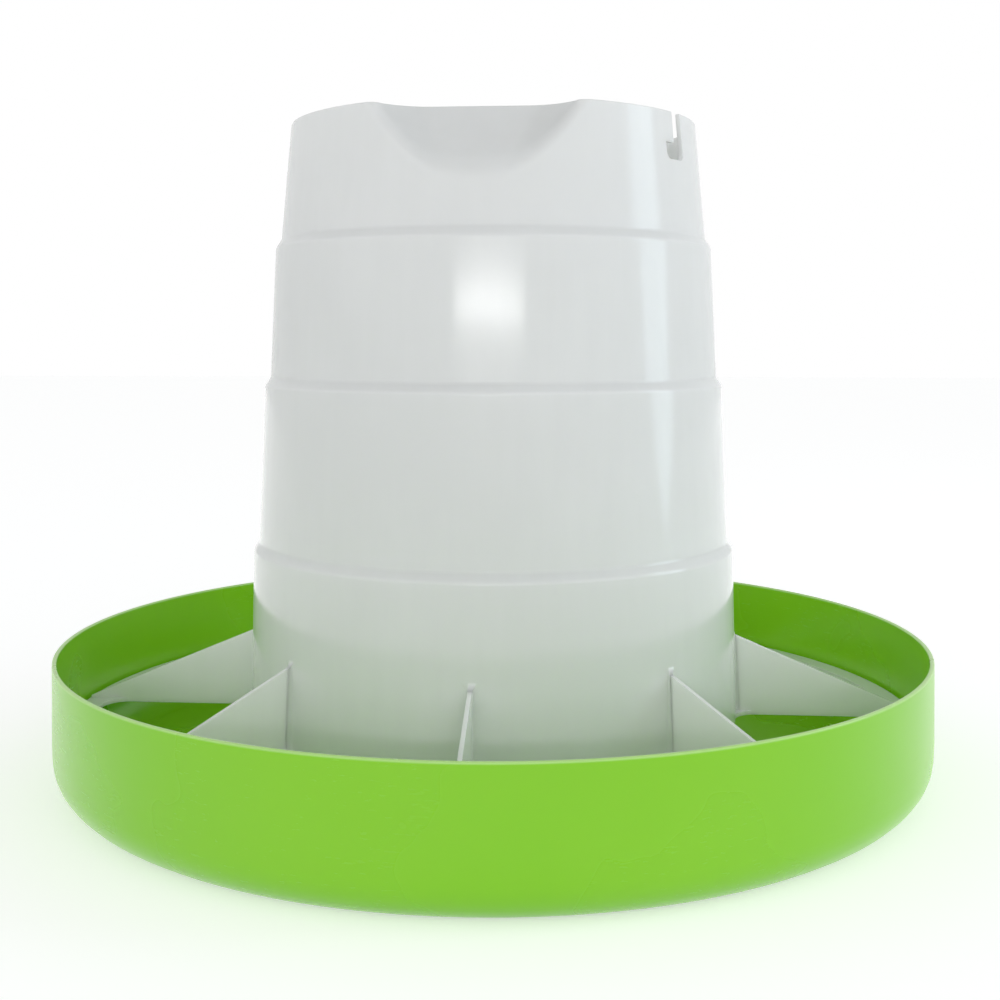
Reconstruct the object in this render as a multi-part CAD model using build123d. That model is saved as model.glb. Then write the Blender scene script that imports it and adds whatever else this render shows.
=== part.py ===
from build123d import *
import math
import os

os.makedirs("parts", exist_ok=True)

# Pan wall, corner and floor
pan_rim_radius = 180.0
pan_waist_radius = 181.0
pan_height = 53.5
pan_wall = 1.8
pan_floor = 2.0
pan_corner_radius = 16.0
pan_rim_round = 0.7

# Spreading cone in the middle of the pan
cone_foot_radius = 62.0
cone_tip_radius = 9.0
cone_height = 36.0
cone_wall = 1.8
cone_foot_round = 8.0
cone_tip_round = 5.0

# Ribs in the pan's corner that the hopper's ring stands on, reach and toe measured in from its edge
seat_height = 21.0
seat_rib_count = 8
seat_rib_thickness = 2.0
seat_rib_reach = 6.4
seat_rib_toe = 13.4

# Barrel of the hopper, four tapered tiers from the foot up
barrel_wall = 1.8
barrel_foot_radius = 102.5
tier_1_height = 72.2
tier_1_taper = 2.4
tier_2_height = 63.4
tier_2_taper = 3.5
tier_3_height = 52.0
tier_3_taper = 3.1
tier_4_height = 45.3
tier_4_taper = 4.7

# Small sloping shoulder between one tier and the next
shoulder_step = 2.3
shoulder_rise = 3.4
shoulder_round = 3.0

# Leaning flat pushed into the rim, one at the front and one at the back
flat_depth = 22.5
flat_height = 24.0
flat_half_width = 29.4
flat_foot_half_width = 22.0
flat_side_angle = 59.0
flat_corner_round = 7.0
flat_edge_round = 3.5

# Hooked slot in the rim, one on each side
slot_count = 2
slot_angle = 62.1
slot_width = 7.2
slot_depth = 17.9
slot_hook_reach = 5.6
slot_hook_height = 6.2
slot_corner_round = 2.4

# Flat ring around the hopper's foot, with a rounded web in each corner between ring, fins and barrel
ring_clearance = 0.6
ring_width = 8.5
ring_thickness = 1.8
window_corner_round = 10.0

# Upright fins that join the ring to the barrel
fin_count = 8
fin_thickness = 1.6
fin_root_height = 33.9
fin_tip_height = 2.6
fin_root_round_foot = 2.0
fin_root_round_top = 1.0

# Length by which a cutting shape runs past what it cuts
overrun = 10.0

# Places worked out from the sizes above
foot_level = seat_height
ring_outer_radius = pan_rim_radius - pan_wall - ring_clearance
ring_inner_radius = ring_outer_radius - ring_width
tiers = [
    (tier_1_height, tier_1_taper),
    (tier_2_height, tier_2_taper),
    (tier_3_height, tier_3_taper),
    (tier_4_height, tier_4_taper),
]
shoulder_count = len(tiers) - 1
rim_level = foot_level + sum(height for height, taper in tiers) + shoulder_rise * shoulder_count
rim_radius = barrel_foot_radius - sum(taper for height, taper in tiers) - shoulder_step * shoulder_count


# Face in the XZ plane with straight sides, its listed corners rounded
def section(points, round_corners=(), radius=0.0):
    face = make_face(Polyline(*points, close=True))
    if round_corners:
        corners = [face.vertices().sort_by_distance(Vertex(*corner))[0] for corner in round_corners]
        face = fillet(corners, radius)
    return Plane.XZ * face


# Solid of revolution of the pan's outline, moved inwards by a wall and up by a floor
def pan_body(wall, floor, top):
    waist = pan_waist_radius - wall
    corner = pan_corner_radius - wall
    mouth = pan_rim_radius - wall
    bottom = Line((0, floor), (waist - corner, floor))
    bend = TangentArc(bottom @ 1, (waist, floor + corner), tangent=(1, 0))
    side = TangentArc(bend @ 1, (mouth, pan_height), tangent=(0, 1))
    close = Polyline(side @ 1, (mouth, top), (0, top), (0, floor))
    return revolve(Plane.XZ * make_face([bottom, bend, side, close]), Axis.Z)


# Pan: floor, wall, hollow spreading cone and seat ribs
def make_pan():
    outer = pan_body(0, 0, pan_height + overrun)
    inner = pan_body(pan_wall, pan_floor, pan_height + overrun)
    shell = (outer - inner) & Pos(0, 0, pan_height / 2) * Cylinder(pan_waist_radius, pan_height)
    lean = math.atan(abs(pan_waist_radius - pan_rim_radius) / (pan_height - pan_corner_radius))
    rim_edges = shell.edges().group_by(Axis.Z)[-1]
    run_per_radius = math.tan(math.pi / 4 + lean) + math.tan(math.pi / 4 - lean)
    shell = fillet(rim_edges, min(pan_rim_round, 0.9 * pan_wall / run_per_radius))

    cone_top = pan_floor + cone_height
    cone_lean = (cone_foot_radius - cone_tip_radius) / cone_height
    cone_setback = cone_wall * math.hypot(1, cone_lean)
    foot = (cone_foot_radius, pan_floor)
    tip = (cone_tip_radius, cone_top)
    under_top = cone_top - cone_wall
    under_foot = (cone_foot_radius - cone_setback + cone_lean * pan_floor, 0)
    under_tip = (cone_foot_radius - cone_setback - cone_lean * (under_top - pan_floor), under_top)
    skirt = (cone_foot_radius + 2 * cone_foot_round, pan_floor)
    outline = [(0, 0), (skirt[0], 0), skirt, foot, tip, (0, cone_top)]
    cone = revolve(section(outline, [foot], cone_foot_round), Axis.Z)
    cone = fillet(cone.edges().group_by(Axis.Z)[-1], cone_tip_round)
    hollow = revolve(section([(0, 0), under_foot, under_tip, (0, under_top)]), Axis.Z)
    hollow = fillet(hollow.edges().group_by(Axis.Z)[-1], max(cone_tip_round - cone_wall, cone_tip_round / 3))

    rib = section(
        [
            (ring_outer_radius - seat_rib_toe, pan_floor / 2),
            (pan_waist_radius - pan_wall / 2, pan_floor / 2),
            (pan_waist_radius - pan_wall / 2, seat_height),
            (ring_outer_radius - seat_rib_reach, seat_height),
        ]
    )
    rib = extrude(rib, seat_rib_thickness / 2, both=True) & outer
    ribs = [Rot(0, 0, 360 / seat_rib_count * index - 90) * rib for index in range(seat_rib_count)]
    return shell + ribs + cone - hollow


# Outer or inner surface of the barrel as a solid of revolution, moved inwards by an inset
def barrel_body(inset):
    radius = barrel_foot_radius - inset
    level = foot_level
    steps = []
    for height, taper in tiers:
        steps.append((radius, level))
        radius -= taper
        level += height
        steps.append((radius, level))
        radius -= shoulder_step
        level += shoulder_rise
    top_radius = steps[-1][0] - tier_4_taper / tier_4_height * overrun
    top = (top_radius, rim_level + overrun)
    foot = (steps[0][0], foot_level - overrun)
    outline = [(0, foot[1]), foot] + steps[:-1] + [top, (0, top[1])]
    return revolve(section(outline, steps[1:-1], shoulder_round), Axis.Z)


# Wedge outside a leaning flat of the rim, its three planes moved inwards by an inset
def flat_wedge(inset):
    foot_distance = rim_radius + tier_4_taper * flat_height / tier_4_height
    rim_distance = rim_radius - flat_depth
    lean = foot_distance - rim_distance
    corner_line = Vector(flat_foot_half_width - flat_half_width, -lean, -flat_height)
    angle = math.radians(flat_side_angle)
    side_trace = Vector(math.cos(angle), -math.sin(angle), 0)
    corner = Vector(flat_half_width, -rim_distance, rim_level)
    back_normal = Vector(0, -flat_height, lean).normalized()
    side_normal = corner_line.cross(side_trace).normalized()
    if side_normal.X > 0:
        side_normal = side_normal * -1
    side_left = Vector(-side_normal.X, side_normal.Y, side_normal.Z)
    corner_left = Vector(-corner.X, corner.Y, corner.Z)
    reach = 2 * barrel_foot_radius
    wedge = Pos(0, -reach / 2, rim_level) * Box(2 * reach, reach, 2 * (flat_height + overrun))
    for point, normal in ((corner, back_normal), (corner, side_normal), (corner_left, side_left)):
        wedge = split(wedge, Plane(origin=point - normal * inset, z_dir=normal), Keep.TOP)
    middle = Vector(0, -rim_distance, rim_level)
    near = wedge.edges().filter_by(lambda edge: abs(edge.tangent_at(0).Z) > 0.5)
    near = near.sort_by(lambda edge: (edge.center() - middle).length)[:2]
    return fillet(near, flat_corner_round + inset)


# Barrel surface with its two flats pushed in and their edges rounded
def barrel_with_flats(inset):
    body = barrel_body(inset)
    for turn in (0, 180):
        body -= Rot(0, 0, turn) * flat_wedge(inset)
    lowest = rim_level - flat_height - 2 * flat_edge_round
    edges = [edge for edge in body.edges() if edge.geom_type not in (GeomType.LINE, GeomType.CIRCLE)]
    edges = [edge for edge in edges if lowest < edge.center().Z < rim_level + 0.9 * overrun]
    return fillet(edges, max(flat_edge_round - inset, flat_edge_round / 3))


# Hooked slot cut through the wall, seen from outside with its hook to the left
def slot_cutter(angle):
    turn = math.radians(angle)
    outward = Vector(math.sin(turn), -math.cos(turn), 0)
    sideways = Vector(math.cos(turn), math.sin(turn), 0)
    right = slot_width / 2
    left = -right
    end = left - slot_hook_reach
    bottom = rim_level - slot_depth
    roof = bottom + slot_hook_height
    top = rim_level + overrun
    outline = [(end, bottom), (right, bottom), (right, top), (left, top), (left, roof), (end, roof)]
    face = make_face(Polyline(*outline, close=True))
    rounded = [face.vertices().sort_by_distance(Vertex(*corner))[0] for corner in (outline[0], outline[1])]
    face = fillet(rounded, slot_corner_round)
    return extrude(Plane(origin=(0, 0, 0), x_dir=sideways, z_dir=outward) * face, 2 * barrel_foot_radius)


# Outline of a fin seen from above, pointing along +X, its root rounded into the barrel
def fin_plan(level, root_round):
    wall_radius = barrel_foot_radius - tier_1_taper * (level - foot_level) / tier_1_height
    half = fin_thickness / 2
    center_y = half + root_round
    center_x = math.sqrt((wall_radius + root_round) ** 2 - center_y ** 2)
    share = wall_radius / (wall_radius + root_round)
    on_wall = Vector(center_x * share, center_y * share)
    on_fin = Vector(center_x, half)
    center = Vector(center_x, center_y)
    middle = center + ((on_wall + on_fin) / 2 - center).normalized() * root_round
    inside = wall_radius - 2 * barrel_wall
    far = ring_outer_radius + overrun
    upper = ThreePointArc(on_wall, middle, on_fin)
    lower = ThreePointArc((on_fin.X, -on_fin.Y), (middle.X, -middle.Y), (on_wall.X, -on_wall.Y))
    outer_end = Polyline(on_fin, (far, half), (far, -half), (on_fin.X, -on_fin.Y))
    inner_end = Polyline(
        (on_wall.X, -on_wall.Y), (inside, -on_wall.Y), (inside, on_wall.Y), (on_wall.X, on_wall.Y)
    )
    return Pos(0, 0, level) * make_face([upper, outer_end, lower, inner_end])


# One triangular fin, pointing along +X
def make_fin():
    top_level = foot_level + fin_root_height
    blank = loft(
        [fin_plan(foot_level, fin_root_round_foot), fin_plan(top_level, fin_root_round_top)],
        ruled=True,
    )
    slope = (fin_root_height - fin_tip_height) / (ring_outer_radius - barrel_foot_radius)
    inside = barrel_foot_radius - overrun
    side = section(
        [
            (inside, foot_level),
            (ring_outer_radius, foot_level),
            (ring_outer_radius, foot_level + fin_tip_height),
            (inside, top_level + slope * (barrel_foot_radius - inside)),
        ]
    )
    return blank & extrude(side, barrel_foot_radius, both=True)


# Plate at the foot's level with one window between each fin and the next
def make_ring():
    half = fin_thickness / 2
    sink = 2 * tier_1_taper * ring_thickness / tier_1_height
    near = barrel_foot_radius - sink
    share = math.radians(180 / fin_count)
    fin_way = Vector(math.cos(share), math.sin(share))
    fin_side = Vector(math.sin(share), -math.cos(share))
    near_corner = fin_way * math.sqrt(near**2 - half**2) + fin_side * half
    far_corner = fin_way * math.sqrt(ring_inner_radius**2 - half**2) + fin_side * half
    near_arc = ThreePointArc((near_corner.X, -near_corner.Y), (near, 0), near_corner)
    far_arc = ThreePointArc(far_corner, (ring_inner_radius, 0), (far_corner.X, -far_corner.Y))
    upper_side = Line(near_corner, far_corner)
    lower_side = Line((far_corner.X, -far_corner.Y), (near_corner.X, -near_corner.Y))
    window = make_face([near_arc, upper_side, far_arc, lower_side])
    window = fillet(window.vertices(), window_corner_round)
    plate = Circle(ring_outer_radius) - Circle(near - sink)
    for index in range(fin_count):
        plate -= Rot(0, 0, 360 / fin_count * (index + 0.5) - 90) * window
    return extrude(Pos(0, 0, foot_level) * plate, ring_thickness)


# Hopper: tiered barrel with flats and slots in its rim, fins and ring
def make_hopper():
    inner = barrel_with_flats(barrel_wall)
    barrel = barrel_with_flats(0) - inner
    barrel = split(barrel, Plane.XY.offset(rim_level), Keep.BOTTOM)
    barrel = split(barrel, Plane.XY.offset(foot_level), Keep.TOP)
    for index in range(slot_count):
        barrel -= slot_cutter(slot_angle + 360 / slot_count * index)

    fin = make_fin() - inner
    fins = [Rot(0, 0, 360 / fin_count * index - 90) * fin for index in range(fin_count)]
    return barrel + fins + make_ring()


pan = make_pan()
hopper = make_hopper()

export_step(pan, "parts/pan.step")
export_step(hopper, "parts/hopper.step")
print("pan", pan.bounding_box(), round(pan.volume), len(pan.solids()))
print("hopper", hopper.bounding_box(), round(hopper.volume), len(hopper.solids()))
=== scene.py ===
import math
import bmesh
import bpy
from mathutils import Matrix, Vector


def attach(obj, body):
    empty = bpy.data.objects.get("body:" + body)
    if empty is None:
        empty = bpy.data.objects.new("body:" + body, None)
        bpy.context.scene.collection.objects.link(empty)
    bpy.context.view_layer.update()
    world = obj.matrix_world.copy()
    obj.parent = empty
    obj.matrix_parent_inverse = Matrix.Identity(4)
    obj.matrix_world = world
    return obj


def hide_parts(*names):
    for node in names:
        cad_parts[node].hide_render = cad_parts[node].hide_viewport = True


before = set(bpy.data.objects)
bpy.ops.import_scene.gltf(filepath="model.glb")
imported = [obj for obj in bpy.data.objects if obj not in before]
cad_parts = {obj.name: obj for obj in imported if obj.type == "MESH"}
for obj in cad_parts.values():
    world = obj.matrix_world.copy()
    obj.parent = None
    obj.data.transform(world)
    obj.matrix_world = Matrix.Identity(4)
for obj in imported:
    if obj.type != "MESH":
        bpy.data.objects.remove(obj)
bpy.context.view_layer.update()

mm = 0.001
fullTurn = 2 * math.pi


# Outline of a moulding in the XZ plane, from (radius, level, rounding) in millimetres
def addOutline(bm, corners, closed=False):
    verts = [bm.verts.new((radius * mm, 0, level * mm)) for radius, level, rounding in corners]
    for first, second in zip(verts, verts[1:]):
        bm.edges.new((first, second))
    if closed:
        bm.edges.new((verts[-1], verts[0]))
    for vert, (radius, level, rounding) in zip(verts, corners):
        if not rounding:
            continue
        ends = [(edge.other_vert(vert).co - vert.co).normalized() for edge in vert.link_edges]
        turn = math.pi - ends[0].angle(ends[1])
        segments = max(2, round(turn / math.radians(12)))
        bmesh.ops.bevel(bm, geom=[vert], offset=rounding * mm * math.tan(turn / 2), offset_type="OFFSET",
                        segments=segments, profile=0.5, affect="VERTICES", material=-1)


# Upright edges of the outline between two levels are cut into short rows
def addRows(bm, lowest, highest, spacing):
    for edge in list(bm.edges):
        levels = sorted(vert.co.z / mm for vert in edge.verts)
        if levels[0] > lowest - 0.01 and levels[1] < highest + 0.01:
            cuts = math.ceil((levels[1] - levels[0]) / spacing) - 1
            if cuts > 0:
                bmesh.ops.subdivide_edges(bm, edges=[edge], cuts=cuts)


def spinRound(bm, steps, offset=0.0):
    bmesh.ops.rotate(bm, verts=bm.verts, cent=(0, 0, 0), matrix=Matrix.Rotation(offset, 3, "Z"))
    bmesh.ops.spin(bm, geom=list(bm.verts) + list(bm.edges), cent=(0, 0, 0), axis=(0, 0, 1), dvec=(0, 0, 0),
                   angle=fullTurn, steps=steps, use_merge=True)
    bmesh.ops.remove_doubles(bm, verts=bm.verts, dist=0.001 * mm)
    bmesh.ops.recalc_face_normals(bm, faces=bm.faces)


def meshPiece(name, bm):
    mesh = bpy.data.meshes.new(name)
    bm.to_mesh(mesh)
    bm.free()
    piece = bpy.data.objects.new(name, mesh)
    bpy.context.scene.collection.objects.link(piece)
    return piece


# A slab with an outline in the XZ plane, or laid in plan, between two depths and repeated round the axis
def slabsRound(name, corners, near, far, count, turn=0.0, inPlan=False):
    bm = bmesh.new()
    addOutline(bm, corners, closed=True)
    bmesh.ops.edgenet_fill(bm, edges=bm.edges)
    bmesh.ops.translate(bm, verts=bm.verts, vec=(0, near * mm, 0))
    grown = bmesh.ops.extrude_face_region(bm, geom=list(bm.faces), use_keep_orig=True)
    moved = [item for item in grown["geom"] if isinstance(item, bmesh.types.BMVert)]
    bmesh.ops.translate(bm, verts=moved, vec=(0, (far - near) * mm, 0))
    if inPlan:
        bmesh.ops.rotate(bm, verts=bm.verts, cent=(0, 0, 0), matrix=Matrix.Rotation(math.pi / 2, 3, "X"))
    bmesh.ops.rotate(bm, verts=bm.verts, cent=(0, 0, 0), matrix=Matrix.Rotation(turn, 3, "Z"))
    bmesh.ops.spin(bm, geom=list(bm.verts) + list(bm.edges) + list(bm.faces), cent=(0, 0, 0), axis=(0, 0, 1),
                   dvec=(0, 0, 0), angle=fullTurn * (count - 1) / count, steps=count - 1, use_duplicate=True)
    bmesh.ops.recalc_face_normals(bm, faces=bm.faces)
    return meshPiece(name, bm)


# One piece is joined to another, or cut out of it, and the tool piece is removed
def combine(piece, tool, operation):
    cut = piece.modifiers.new(operation, "BOOLEAN")
    cut.operation = operation
    cut.solver = "EXACT"
    cut.object = tool
    result = bpy.data.meshes.new_from_object(piece.evaluated_get(bpy.context.evaluated_depsgraph_get()))
    piece.modifiers.clear()
    used = piece.data
    piece.data = result
    result.name = piece.name
    bpy.data.meshes.remove(used)
    bpy.data.objects.remove(tool)


def finishSurface(piece, sharpAngle):
    bm = bmesh.new()
    bm.from_mesh(piece.data)
    bmesh.ops.remove_doubles(bm, verts=bm.verts, dist=0.002 * mm)
    bmesh.ops.dissolve_degenerate(bm, edges=bm.edges, dist=0.002 * mm)
    bm.to_mesh(piece.data)
    bm.free()
    piece.data.shade_smooth()
    piece.data.set_sharp_from_angle(angle=math.radians(sharpAngle))
    even = piece.modifiers.new("even shading", "WEIGHTED_NORMAL")
    even.keep_sharp = True
    even.weight = 50


# Green feed pan: floor, rounded corner, low wall, hollow spreading cone and the ribs in its corner
pan = {
    "steps": 288,
    "rimRadius": 180.0, "waistRadius": 181.0, "height": 53.5,
    "wall": 1.8, "floor": 2.0, "cornerRound": 16.0, "rimRound": 0.7,
    "coneFoot": 62.0, "coneTip": 9.0, "coneHeight": 36.0, "coneWall": 1.8,
    "coneFootRound": 8.0, "coneTipRound": 5.0,
    "ribCount": 8, "ribThickness": 2.0, "ribTop": 21.0, "ribReach": 171.2, "ribToe": 164.2,
}


def panOutline(size):
    wall, floor, height = size["wall"], size["floor"], size["height"]
    coneTop = floor + size["coneHeight"]
    lean = (size["coneFoot"] - size["coneTip"]) / size["coneHeight"]
    underFoot = size["coneFoot"] - size["coneWall"] * math.hypot(1, lean) + lean * floor
    underTip = underFoot - lean * (coneTop - size["coneWall"])
    straight = size["cornerRound"] + 6
    return [
        (0, coneTop, 0),
        (size["coneTip"], coneTop, size["coneTipRound"]),
        (size["coneFoot"], floor, size["coneFootRound"]),
        (size["waistRadius"] - wall, floor, size["cornerRound"] - wall),
        (size["waistRadius"] - wall, straight, 30),
        (size["rimRadius"] - wall, height, size["rimRound"]),
        (size["rimRadius"], height, size["rimRound"]),
        (size["waistRadius"], straight, 30),
        (size["waistRadius"], 0, size["cornerRound"]),
        (underFoot, 0, 0.4),
        (underTip, coneTop - size["coneWall"], size["coneTipRound"] - size["coneWall"]),
        (0, coneTop - size["coneWall"], 0),
    ]


def buildPan(size):
    bm = bmesh.new()
    addOutline(bm, panOutline(size))
    spinRound(bm, size["steps"])
    piece = meshPiece("feedPan", bm)

    middle = size["waistRadius"] - size["wall"] / 2
    bottom = size["floor"] / 2
    rib = [(size["ribToe"], bottom, 0), (middle, bottom, size["cornerRound"] - size["wall"] / 2),
           (middle, size["ribTop"], 0), (size["ribReach"], size["ribTop"], 0)]
    half = size["ribThickness"] / 2
    ribs = slabsRound("seatRibs", rib, -half, half, size["ribCount"])
    combine(piece, ribs, "UNION")
    finishSurface(piece, 40)
    return piece


# Milky hopper: tiered barrel, two leaning flats and two hooked slots in the rim, fins and ring
barrel = {
    "columns": 400,
    "wall": 1.8, "foot": 21.0, "footRadius": 102.5,
    "tiers": ((72.2, 2.4), (63.4, 3.5), (52.0, 3.1), (45.3, 4.7)),
    "shoulderStep": 2.3, "shoulderRise": 3.4, "shoulderRound": 3.0, "rimRound": 0.4,
    "rowSpacing": 1.35,
}
flat = {
    "depth": 22.5, "height": 24.0, "halfWidth": 29.4, "footHalfWidth": 22.0,
    "sideAngle": 59.0, "cornerRound": 7.0, "edgeRound": 3.5,
    "reach": 52.0, "relaxRounds": 6,
}
slot = {
    "angle": 62.1, "width": 7.2, "depth": 17.9, "hookReach": 5.6, "hookHeight": 6.2, "round": 2.4,
}
fin = {
    "count": 8, "thickness": 1.6, "rootHeight": 33.9, "tipHeight": 2.6, "outer": 177.3,
    "rootRoundFoot": 2.0, "rootRoundTop": 1.0, "filletColumns": 3, "rows": 14,
}
ring = {
    "outer": 177.6, "inner": 169.1, "thickness": 1.8, "edgeRound": 0.3,
    "windowRound": 10.0, "windowSink": 0.1, "nearSteps": 7, "farSteps": 9,
}

rimLevel = barrel["foot"] + sum(tier[0] for tier in barrel["tiers"]) + 3 * barrel["shoulderRise"]
rimRadius = barrel["footRadius"] - sum(tier[1] for tier in barrel["tiers"]) - 3 * barrel["shoulderStep"]
topTier = barrel["tiers"][-1]
topTierFoot = rimLevel - topTier[0]
finTop = barrel["foot"] + fin["rootHeight"]


def topTierRadius(level):
    return rimRadius + topTier[1] * (rimLevel - level) / topTier[0]


def firstTierRadius(level):
    return barrel["footRadius"] - barrel["tiers"][0][1] * (level - barrel["foot"]) / barrel["tiers"][0][0]


def barrelOutline(size):
    radius, level = size["footRadius"], size["foot"]
    corners = []
    for index, (height, taper) in enumerate(size["tiers"]):
        corners.append((radius, level, size["shoulderRound"] if index else 0))
        if index == 0:
            corners.append((firstTierRadius(level + fin["tipHeight"]), level + fin["tipHeight"], 0))
            corners.append((firstTierRadius(finTop), finTop, 0))
            corners.append((firstTierRadius(finTop + 3), finTop + 3, 0))
        radius -= taper
        level += height
        corners.append((radius, level, size["shoulderRound"]))
        radius -= size["shoulderStep"]
        level += size["shoulderRise"]
    corners[-1] = (rimRadius, rimLevel, size["rimRound"])
    inner = [(radius - size["wall"], level, rounding) for radius, level, rounding in reversed(corners)]
    return corners + inner


# The flat's two planes, in millimetres with the flat facing +Y: level of the rim, x across, d outwards
flatFoot = topTierRadius(rimLevel - flat["height"])
flatRim = rimRadius - flat["depth"]
flatLean = flatFoot - flatRim
sideTrace = Vector((math.cos(math.radians(flat["sideAngle"])), math.sin(math.radians(flat["sideAngle"])), 0))
sideFall = Vector((flat["footHalfWidth"] - flat["halfWidth"], flatLean, -flat["height"]))
sideNormal = sideFall.cross(sideTrace).normalized()
sideNormal *= -1 if sideNormal.x > 0 else 1
backNormal = Vector((0, flat["height"], flatLean)).normalized()
flatCorner = Vector((flat["halfWidth"], flatRim, rimLevel))


# How far a point lies outside the hopper's wall, with the flat's edges and corners rounded
def flatDistance(x, d, level, inset):
    offset = Vector((abs(x), d, level)) - flatCorner
    back = offset.dot(backNormal) + inset
    side = offset.dot(sideNormal) + inset
    corner = flat["cornerRound"] + inset
    if back < corner and side < corner:
        cut = corner - math.hypot(corner - back, corner - side)
    else:
        cut = min(back, side)
    over = math.hypot(x, d) - topTierRadius(level) + inset
    edge = max(flat["edgeRound"] - inset, flat["edgeRound"] / 3)
    if cut > -edge and over > -edge:
        return math.hypot(cut + edge, over + edge) - edge
    return max(cut, over)


# Where a point of a level ring goes along the flat's plain outline, by its share of the way round
def alongFlat(turn, level, inset):
    radius = topTierRadius(level) - inset
    limit = math.radians(flat["reach"])
    fall = rimLevel - level
    backLine = flatRim + (fall * flatLean - inset * math.hypot(flat["height"], flatLean)) / flat["height"]
    if backLine > radius - 0.05:
        return radius * math.sin(turn), radius * math.cos(turn)
    x = flat["halfWidth"] - (sideNormal.y * (backLine - flatRim) - sideNormal.z * fall + inset) / sideNormal.x
    if math.hypot(x, backLine) >= radius:
        x = math.sqrt(radius ** 2 - backLine ** 2)
        side = 0.0
    else:
        reach = x * sideTrace.x + backLine * sideTrace.y
        side = -reach + math.sqrt(reach ** 2 + radius ** 2 - x ** 2 - backLine ** 2)
    edgeX, edgeD = x + side * sideTrace.x, backLine + side * sideTrace.y
    edgeTurn = math.atan2(edgeX, edgeD)
    way = abs(turn) / limit * (x + side + radius * (limit - edgeTurn))
    sign = 1 if turn >= 0 else -1
    if way < x:
        return sign * way, backLine
    if way < x + side:
        return sign * (x + (way - x) * sideTrace.x), backLine + (way - x) * sideTrace.y
    angle = edgeTurn + (way - x - side) / radius
    return sign * radius * math.sin(angle), radius * math.cos(angle)


# A vertex of the top tier is moved level, along the steepest way, on to the rounded wall
def settleOnFlat(vert, facing, inset):
    x, d, level = vert.co.x / mm * facing, vert.co.y / mm * facing, vert.co.z / mm
    tiny = 0.01
    for step in range(3):
        here = flatDistance(x, d, level, inset)
        slopeX = (flatDistance(x + tiny, d, level, inset) - here) / tiny
        slopeD = (flatDistance(x, d + tiny, level, inset) - here) / tiny
        steep = max(slopeX ** 2 + slopeD ** 2, 0.05)
        x -= here * slopeX / steep
        d -= here * slopeD / steep
    vert.co.x, vert.co.y = x * mm * facing, d * mm * facing


def pressFlats(bm):
    lowest = rimLevel - flat["height"] - 2 * flat["edgeRound"]
    limit = math.radians(flat["reach"])
    moved = []
    for vert in bm.verts:
        level = vert.co.z / mm
        facing = 1 if vert.co.y > 0 else -1
        turn = math.atan2(vert.co.x * facing, vert.co.y * facing)
        if level > lowest and abs(turn) < limit - 0.001:
            inset = topTierRadius(level) - math.hypot(vert.co.x, vert.co.y) / mm
            x, d = alongFlat(turn, level, inset)
            vert.co.x, vert.co.y = x * mm * facing, d * mm * facing
            moved.append((vert, facing, inset))
    for relax in range(flat["relaxRounds"] + 1):
        if relax:
            bmesh.ops.smooth_vert(bm, verts=[entry[0] for entry in moved], factor=0.5,
                                  use_axis_x=True, use_axis_y=True, use_axis_z=False)
        for vert, facing, inset in moved:
            settleOnFlat(vert, facing, inset)


# Upper edge of a fin: its distance from the barrel's axis at a level
def finEdge(level):
    slope = (fin["rootHeight"] - fin["tipHeight"]) / (ring["outer"] - barrel["footRadius"])
    return min(fin["outer"], ring["outer"] - (level - barrel["foot"] - fin["tipHeight"]) / slope)


# Fins are drawn out of single columns of the barrel's wall, whose neighbours curve into their roots
def drawFins(bm):
    column = fullTurn / barrel["columns"]
    half = fin["thickness"] / 2
    strips = []
    for face in bm.faces:
        middle = face.calc_center_median()
        level, radius = middle.z / mm, middle.to_2d().length / mm
        if level > finTop or radius < firstTierRadius(level) - 0.3 or abs(face.normal.z) > 0.5:
            continue
        turns = math.atan2(middle.x, -middle.y) / (fullTurn / fin["count"])
        if abs(turns - round(turns)) * fullTurn / fin["count"] < 0.4 * column:
            strips.append(face)
    wallVerts = {vert: (vert.co.z / mm, math.atan2(vert.co.x, -vert.co.y)) for vert in bm.verts
                 if vert.co.z / mm < finTop + 0.01
                 and vert.co.to_2d().length / mm > firstTierRadius(vert.co.z / mm) - 0.3}
    grown = bmesh.ops.extrude_face_region(bm, geom=strips)
    outer = [item for item in grown["geom"] if isinstance(item, bmesh.types.BMVert)]
    between = fullTurn / fin["count"]
    for vert in outer:
        level = vert.co.z / mm
        turn = math.atan2(vert.co.x, -vert.co.y)
        facing = round(turn / between) * between
        side = math.copysign(half, turn - facing)
        along = max(finEdge(level), firstTierRadius(level) + 0.2)
        placeByFin(vert, facing, along, side)
    for vert, (level, turn) in wallVerts.items():
        facing = round(turn / between) * between
        step = abs(turn - facing) / column - 0.5
        if step > 2 * fin["filletColumns"]:
            continue
        wall = firstTierRadius(level)
        share = (level - barrel["foot"]) / fin["rootHeight"]
        rounding = fin["rootRoundFoot"] + (fin["rootRoundTop"] - fin["rootRoundFoot"]) * share
        rounding = max(min(rounding, 0.8 * (finEdge(level) - wall)), 0.15)
        centerSide = half + rounding
        centerAlong = math.sqrt((wall + rounding) ** 2 - centerSide ** 2)
        side = math.copysign(1, turn - facing)
        wallAngle = math.atan2(centerSide, centerAlong)
        if step <= fin["filletColumns"]:
            angle = -math.pi / 2 - step / fin["filletColumns"] * (math.pi / 2 - wallAngle)
            along = centerAlong + rounding * math.cos(angle)
            across = centerSide + rounding * math.sin(angle)
        else:
            outerAngle = (2 * fin["filletColumns"] + 0.5) * column
            part = step / fin["filletColumns"] - 1
            angle = wallAngle + (outerAngle - wallAngle) * part
            along, across = wall * math.cos(angle), wall * math.sin(angle)
        placeByFin(vert, facing, along, side * across)


def placeByFin(vert, facing, along, across):
    vert.co.x = (along * math.sin(facing) + across * math.cos(facing)) * mm
    vert.co.y = (-along * math.cos(facing) + across * math.sin(facing)) * mm


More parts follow.
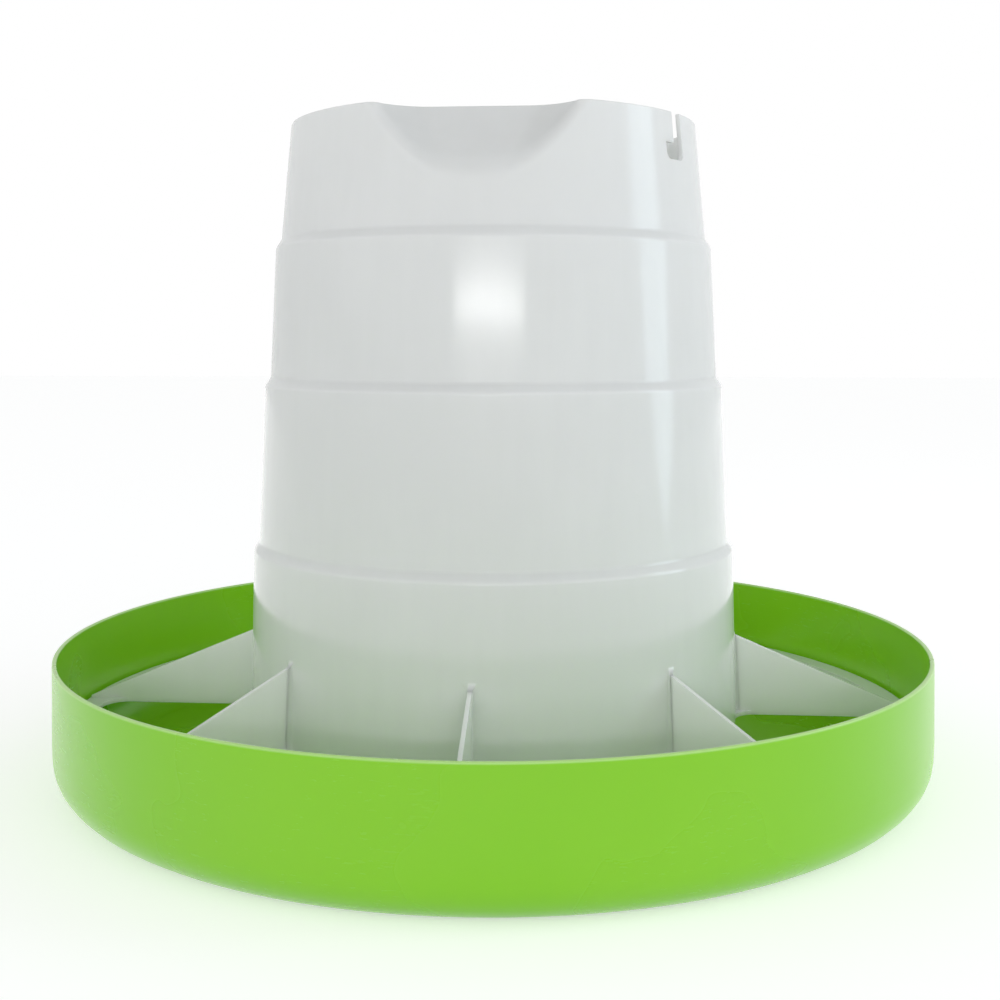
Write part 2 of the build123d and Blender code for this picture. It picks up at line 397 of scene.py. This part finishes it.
def slotCutter(size):
    right = size["width"] / 2
    end = -right - size["hookReach"]
    bottom, top = rimLevel - size["depth"], rimLevel + 6
    roof = bottom + size["hookHeight"]
    corners = [(end, bottom, size["round"]), (right, bottom, size["round"]), (right, top, 0),
               (-right, top, 0), (-right, roof, 0), (end, roof, 0)]
    return slabsRound("slotCutter", corners, -120, -60, 2, math.radians(size["angle"]))


# The openings between the fins, seen in plan, with their corners rounded
def windowCutter(size):
    side = fin["thickness"] / 2 - size["windowSink"]
    halfShare = math.pi / fin["count"]
    low, high = barrel["foot"] - 1, barrel["foot"] + size["thickness"] + 1
    corners = []
    for radius, steps, way in ((barrel["footRadius"] - size["windowSink"], size["nearSteps"], 1),
                               (size["inner"], size["farSteps"], -1)):
        widest = halfShare - math.asin(side / radius)
        for index in range(steps + 1):
            angle = way * widest * (2 * index / steps - 1)
            rounding = 0 if 0 < index < steps else size["windowRound"]
            corners.append((radius * math.cos(angle), radius * math.sin(angle), rounding))
    return slabsRound("windowCutter", corners, low, high, fin["count"], halfShare, inPlan=True)


def footPlate(size):
    bm = bmesh.new()
    low, high = barrel["foot"], barrel["foot"] + size["thickness"]
    inner = barrel["footRadius"] - barrel["wall"] / 2
    corners = [(inner, low, 0), (size["outer"], low, 0), (size["outer"], high, size["edgeRound"]),
               (inner, high, 0)]
    addOutline(bm, corners, closed=True)
    spinRound(bm, barrel["columns"], fullTurn / barrel["columns"] / 2)
    plate = meshPiece("footPlate", bm)
    combine(plate, windowCutter(size), "DIFFERENCE")
    return plate


def buildHopper():
    bm = bmesh.new()
    addOutline(bm, barrelOutline(barrel), closed=True)
    finFoot = barrel["foot"] + fin["tipHeight"]
    addRows(bm, finFoot, finTop, (finTop - finFoot) / fin["rows"])
    addRows(bm, topTierFoot + 0.5, rimLevel - 0.2, barrel["rowSpacing"])
    spinRound(bm, barrel["columns"], -math.pi / 2 + fullTurn / barrel["columns"] / 2)
    pressFlats(bm)
    drawFins(bm)
    bmesh.ops.recalc_face_normals(bm, faces=bm.faces)
    piece = meshPiece("hopperBody", bm)
    combine(piece, footPlate(ring), "UNION")
    combine(piece, slotCutter(slot), "DIFFERENCE")
    finishSurface(piece, 32)
    return piece


# A socket that takes part in sums, so that shader maths reads as sums
class Wire:
    def __init__(self, shader, socket):
        self.shader, self.socket = shader, socket

    def maths(self, operation, first, second=0.0):
        return self.shader.node("ShaderNodeMath", {"operation": operation}, {0: first, 1: second})

    def __add__(self, other):
        return self.maths("ADD", self, other)

    def __mul__(self, other):
        return self.maths("MULTIPLY", self, other)

    __radd__ = __add__
    __rmul__ = __mul__


class Shader:
    def __init__(self, name):
        self.material = bpy.data.materials.new(name)
        self.material.use_nodes = True
        self.nodes, self.links = self.material.node_tree.nodes, self.material.node_tree.links
        self.nodes.clear()
        self.output = self.nodes.new("ShaderNodeOutputMaterial")

    def node(self, kind, settings, values, output=0):
        made = self.nodes.new(kind)
        for name, value in settings.items():
            setattr(made, name, value)
        for name, value in values.items():
            if isinstance(value, Wire):
                self.links.new(value.socket, made.inputs[name])
            else:
                made.inputs[name].default_value = value
        return Wire(self, made.outputs[output])

    def place(self, scale=(1, 1, 1), turn=(0, 0, 0)):
        seat = self.node("ShaderNodeTexCoord", {}, {}, "Object")
        return self.node("ShaderNodeMapping", {}, {"Vector": seat, "Rotation": turn, "Scale": scale})

    def noise(self, where, scale, detail=2.0, roughness=0.5):
        return self.node("ShaderNodeTexNoise", {}, {"Vector": where, "Scale": scale, "Detail": detail,
                                                    "Roughness": roughness}, "Fac")

    def step(self, value, low, high, bottom=0.0, top=1.0):
        return self.node("ShaderNodeMapRange", {"interpolation_type": "SMOOTHSTEP"},
                         {"Value": value, "From Min": low, "From Max": high, "To Min": bottom, "To Max": top})

    def blend(self, share, first, second):
        return self.node("ShaderNodeMix", {"data_type": "RGBA"}, {0: share, 6: first, 7: second}, 2)

    def bump(self, height, distance, strength=1.0, below=None):
        values = {"Height": height, "Distance": distance, "Strength": strength}
        if below:
            values["Normal"] = below
        return self.node("ShaderNodeBump", {}, values)

    def finish(self, surface):
        self.links.new(surface.socket, self.output.inputs["Surface"])
        return self.material


# Natural polypropylene, milky and soft, with faint draw lines from its mould
milky = {
    "color": (0.845, 0.855, 0.855, 1), "cloud": (0.815, 0.825, 0.825, 1), "roughness": 0.13,
    "subsurface": 0.6, "depth": (1.0, 0.98, 0.92), "scale": 0.006,
    "cloudScale": 14, "drawScale": 160, "drawStretch": (1, 1, 0.12), "drawShare": 0.35, "tintRange": (0.45, 0.85),
    "scuffScale": 230, "scuffStretch": (1, 1, 3.5), "scuffTurn": (0.5, 0.3, 0), "scuffRange": (0.60, 0.74),
    "scuffLevels": (0.250, 0.262), "scuffLeast": 0.25, "scuffGloss": 0.04, "glossSwing": (-0.02, 0.03),
    "waveScale": 22, "waveHeight": 0.0006, "waveShare": 0.2, "drawHeight": 0.00004, "drawDepth": 0.4,
    "grainScale": 1400, "grainHeight": 0.00001, "grainDepth": 0.4,
}
plasticIndex = 1.49
cloudRange = (0.3, 0.7)


def hopperPlastic(finish):
    shader = Shader("milkyPlastic")
    spot = shader.place()
    level = shader.node("ShaderNodeSeparateXYZ", {}, {"Vector": spot}, "Z")
    clouds = shader.noise(spot, finish["cloudScale"], 3)
    drawn = shader.noise(shader.place(scale=finish["drawStretch"]), finish["drawScale"], 3)
    grain = shader.noise(spot, finish["grainScale"], 2)
    scuffs = shader.noise(shader.place(scale=finish["scuffStretch"], turn=finish["scuffTurn"]),
                          finish["scuffScale"], 4, 0.65)
    tint = shader.blend(shader.step(clouds + drawn * finish["drawShare"], *finish["tintRange"]),
                        finish["color"], finish["cloud"])
    rubbed = (shader.step(scuffs, *finish["scuffRange"])
              * shader.step(level, *finish["scuffLevels"], finish["scuffLeast"], 1.0))
    gloss = (finish["roughness"] + shader.step(clouds, *cloudRange, *finish["glossSwing"])
             + rubbed * finish["scuffGloss"])
    waves = shader.bump(shader.noise(spot, finish["waveScale"], 1), finish["waveHeight"], finish["waveShare"])
    lines = shader.bump(drawn, finish["drawHeight"], finish["drawDepth"], waves)
    normal = shader.bump(grain, finish["grainHeight"], finish["grainDepth"], lines)
    return shader.finish(shader.node("ShaderNodeBsdfPrincipled", {"subsurface_method": "RANDOM_WALK"}, {
        "Base Color": tint, "Roughness": gloss, "Normal": normal, "IOR": plasticIndex,
        "Subsurface Weight": finish["subsurface"], "Subsurface Radius": finish["depth"],
        "Subsurface Scale": finish["scale"]}))


# Lime green polypropylene, with a painted highlight: a lighter green along the rim's edge
lime = {
    # edge is the lighter green of the painted highlight on the rim
    "color": (0.262, 0.660, 0.010, 1), "deep": (0.245, 0.640, 0.008, 1), "edge": (0.50, 0.80, 0.26, 1),
    "roughness": 0.27, "subsurface": 0.12, "depth": (0.5, 1.0, 0.2), "scale": 0.003,
    "cloudScale": 11, "tintRange": (0.3, 0.75), "rimHighlightLevels": (0.0524, 0.0533),
    "scuffScale": 170, "scuffStretch": (1, 1, 5), "scuffRange": (0.58, 0.75), "scuffGloss": 0.04,
    "glossSwing": (-0.02, 0.03), "waveScale": 20, "waveHeight": 0.0004, "waveShare": 0.15,
    "grainScale": 1100, "grainHeight": 0.00001, "grainDepth": 0.5,
}


def panPlastic(finish):
    shader = Shader("limePlastic")
    spot = shader.place()
    level = shader.node("ShaderNodeSeparateXYZ", {}, {"Vector": spot}, "Z")
    clouds = shader.noise(spot, finish["cloudScale"], 3)
    grain = shader.noise(spot, finish["grainScale"], 2)
    scuffs = shader.noise(shader.place(scale=finish["scuffStretch"]), finish["scuffScale"], 4, 0.65)
    tint = shader.blend(shader.step(clouds, *finish["tintRange"]), finish["color"], finish["deep"])
    # Painted highlight: a lighter green is mixed in over the rim's top edge, chosen by level
    tint = shader.blend(shader.step(level, *finish["rimHighlightLevels"]), tint, finish["edge"])
    gloss = (finish["roughness"] + shader.step(clouds, *cloudRange, *finish["glossSwing"])
             + shader.step(scuffs, *finish["scuffRange"]) * finish["scuffGloss"])
    waves = shader.bump(shader.noise(spot, finish["waveScale"], 1), finish["waveHeight"], finish["waveShare"])
    normal = shader.bump(grain, finish["grainHeight"], finish["grainDepth"], waves)
    return shader.finish(shader.node("ShaderNodeBsdfPrincipled", {"subsurface_method": "RANDOM_WALK"}, {
        "Base Color": tint, "Roughness": gloss, "Normal": normal, "IOR": plasticIndex,
        "Subsurface Weight": finish["subsurface"], "Subsurface Radius": finish["depth"],
        "Subsurface Scale": finish["scale"]}))


# Floor that keeps the shadow and is white to the camera elsewhere
stage = {"size": 12.0, "color": (0.82, 0.82, 0.82, 1), "glow": 0.47, "sheen": 0.7}


def buildFloor(size):
    bm = bmesh.new()
    bmesh.ops.create_grid(bm, x_segments=1, y_segments=1, size=size["size"] / 2)
    piece = meshPiece("floor", bm)
    shader = Shader("paleFloor")
    seen = (shader.node("ShaderNodeLightPath", {}, {}, "Is Camera Ray") * size["glow"]
            + shader.node("ShaderNodeLightPath", {}, {}, "Is Glossy Ray") * size["sheen"])
    paint = shader.node("ShaderNodeBsdfDiffuse", {}, {"Color": size["color"]})
    light = shader.node("ShaderNodeEmission", {}, {"Color": (1, 1, 1, 1), "Strength": seen})
    both = shader.node("ShaderNodeAddShader", {}, {0: paint, 1: light})
    piece.data.materials.append(shader.finish(both))
    return piece


# Camera at the photograph's view
view = {"away": 0.5814, "height": 0.1790, "around": 4.75, "down": 6.635, "aside": 0.264, "lens": 49.84}


def addCamera(size):
    around = math.radians(size["around"])
    camera = bpy.data.objects.new("camera", bpy.data.cameras.new("camera"))
    camera.location = (size["away"] * math.sin(around), -size["away"] * math.cos(around), size["height"])
    camera.rotation_euler = (math.radians(90 - size["down"]), 0, around - math.radians(size["aside"]))
    camera.data.lens = size["lens"]
    camera.data.sensor_width = 36
    camera.data.clip_start = 0.01
    bpy.context.scene.collection.objects.link(camera)
    bpy.context.scene.camera = camera


# Soft studio light: name, place, aim, width, height, power, color
lamps = [
    ("coolRight", (1.48, 0.04, 0.52), (0, 0, 0.17), 0.50, 1.0, 2.7, (0.74, 0.91, 1.0)),
    ("behindCamera", (0.10, -2.1, 0.495), (0, 0, 0.17), 1.35, 0.08, 3.5, (1.0, 1.0, 1.0)),
]
ambient = {
    "color": (0.99, 1.0, 1.0, 1),
    "X": (-0.9, 0.9, 0.87, 0.97), "Y": (-0.8, 0.8, 1.08, 0.82), "Z": (0.38, 0.85, 1.22, 0.40),
}


def addLamp(name, place, aim, width, height, power, color):
    lamp = bpy.data.lights.new(name, "AREA")
    lamp.shape, lamp.size, lamp.size_y = "ELLIPSE", width, height
    lamp.energy, lamp.color = power, color
    piece = bpy.data.objects.new(name, lamp)
    piece.location = place
    piece.rotation_euler = (Vector(aim) - Vector(place)).to_track_quat("-Z", "Y").to_euler()
    bpy.context.scene.collection.objects.link(piece)


def addWorld(size):
    world = bpy.data.worlds.new("studio")
    bpy.context.scene.world = world
    world.use_nodes = True
    nodes, links = world.node_tree.nodes, world.node_tree.links
    nodes.clear()
    path, way = nodes.new("ShaderNodeLightPath"), nodes.new("ShaderNodeTexCoord")
    rise = nodes.new("ShaderNodeSeparateXYZ")
    links.new(way.outputs["Generated"], rise.inputs[0])
    strength = None
    for axis in ("X", "Y", "Z"):
        fade = nodes.new("ShaderNodeMapRange")
        fade.interpolation_type = "SMOOTHSTEP"
        for name, value in zip(("From Min", "From Max", "To Min", "To Max"), size[axis]):
            fade.inputs[name].default_value = value
        links.new(rise.outputs[axis], fade.inputs["Value"])
        if strength is None:
            strength = fade.outputs[0]
            continue
        product = nodes.new("ShaderNodeMath")
        product.operation = "MULTIPLY"
        links.new(strength, product.inputs[0])
        links.new(fade.outputs[0], product.inputs[1])
        strength = product.outputs[0]
    soft, white = nodes.new("ShaderNodeBackground"), nodes.new("ShaderNodeBackground")
    soft.inputs["Color"].default_value = size["color"]
    links.new(strength, soft.inputs["Strength"])
    white.inputs["Strength"].default_value = 1.0
    white.inputs["Color"].default_value = (1, 1, 1, 1)
    mix, output = nodes.new("ShaderNodeMixShader"), nodes.new("ShaderNodeOutputWorld")
    links.new(path.outputs["Is Camera Ray"], mix.inputs[0])
    links.new(soft.outputs[0], mix.inputs[1])
    links.new(white.outputs[0], mix.inputs[2])
    links.new(mix.outputs[0], output.inputs["Surface"])


addCamera(view)
for lamp in lamps:
    addLamp(*lamp)
addWorld(ambient)
bpy.context.scene.view_settings.view_transform = "Standard"
print("camera and light placed")

panPiece = buildPan(pan)
panPiece.data.materials.clear()
panPiece.data.materials.append(panPlastic(lime))
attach(panPiece, "root")
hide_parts("pan")
print("pan built,", len(panPiece.data.polygons), "faces")

hopperPiece = buildHopper()
hopperPiece.data.materials.clear()
hopperPiece.data.materials.append(hopperPlastic(milky))
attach(hopperPiece, "root")
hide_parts("hopper")
print("hopper built,", len(hopperPiece.data.polygons), "faces")

buildFloor(stage)
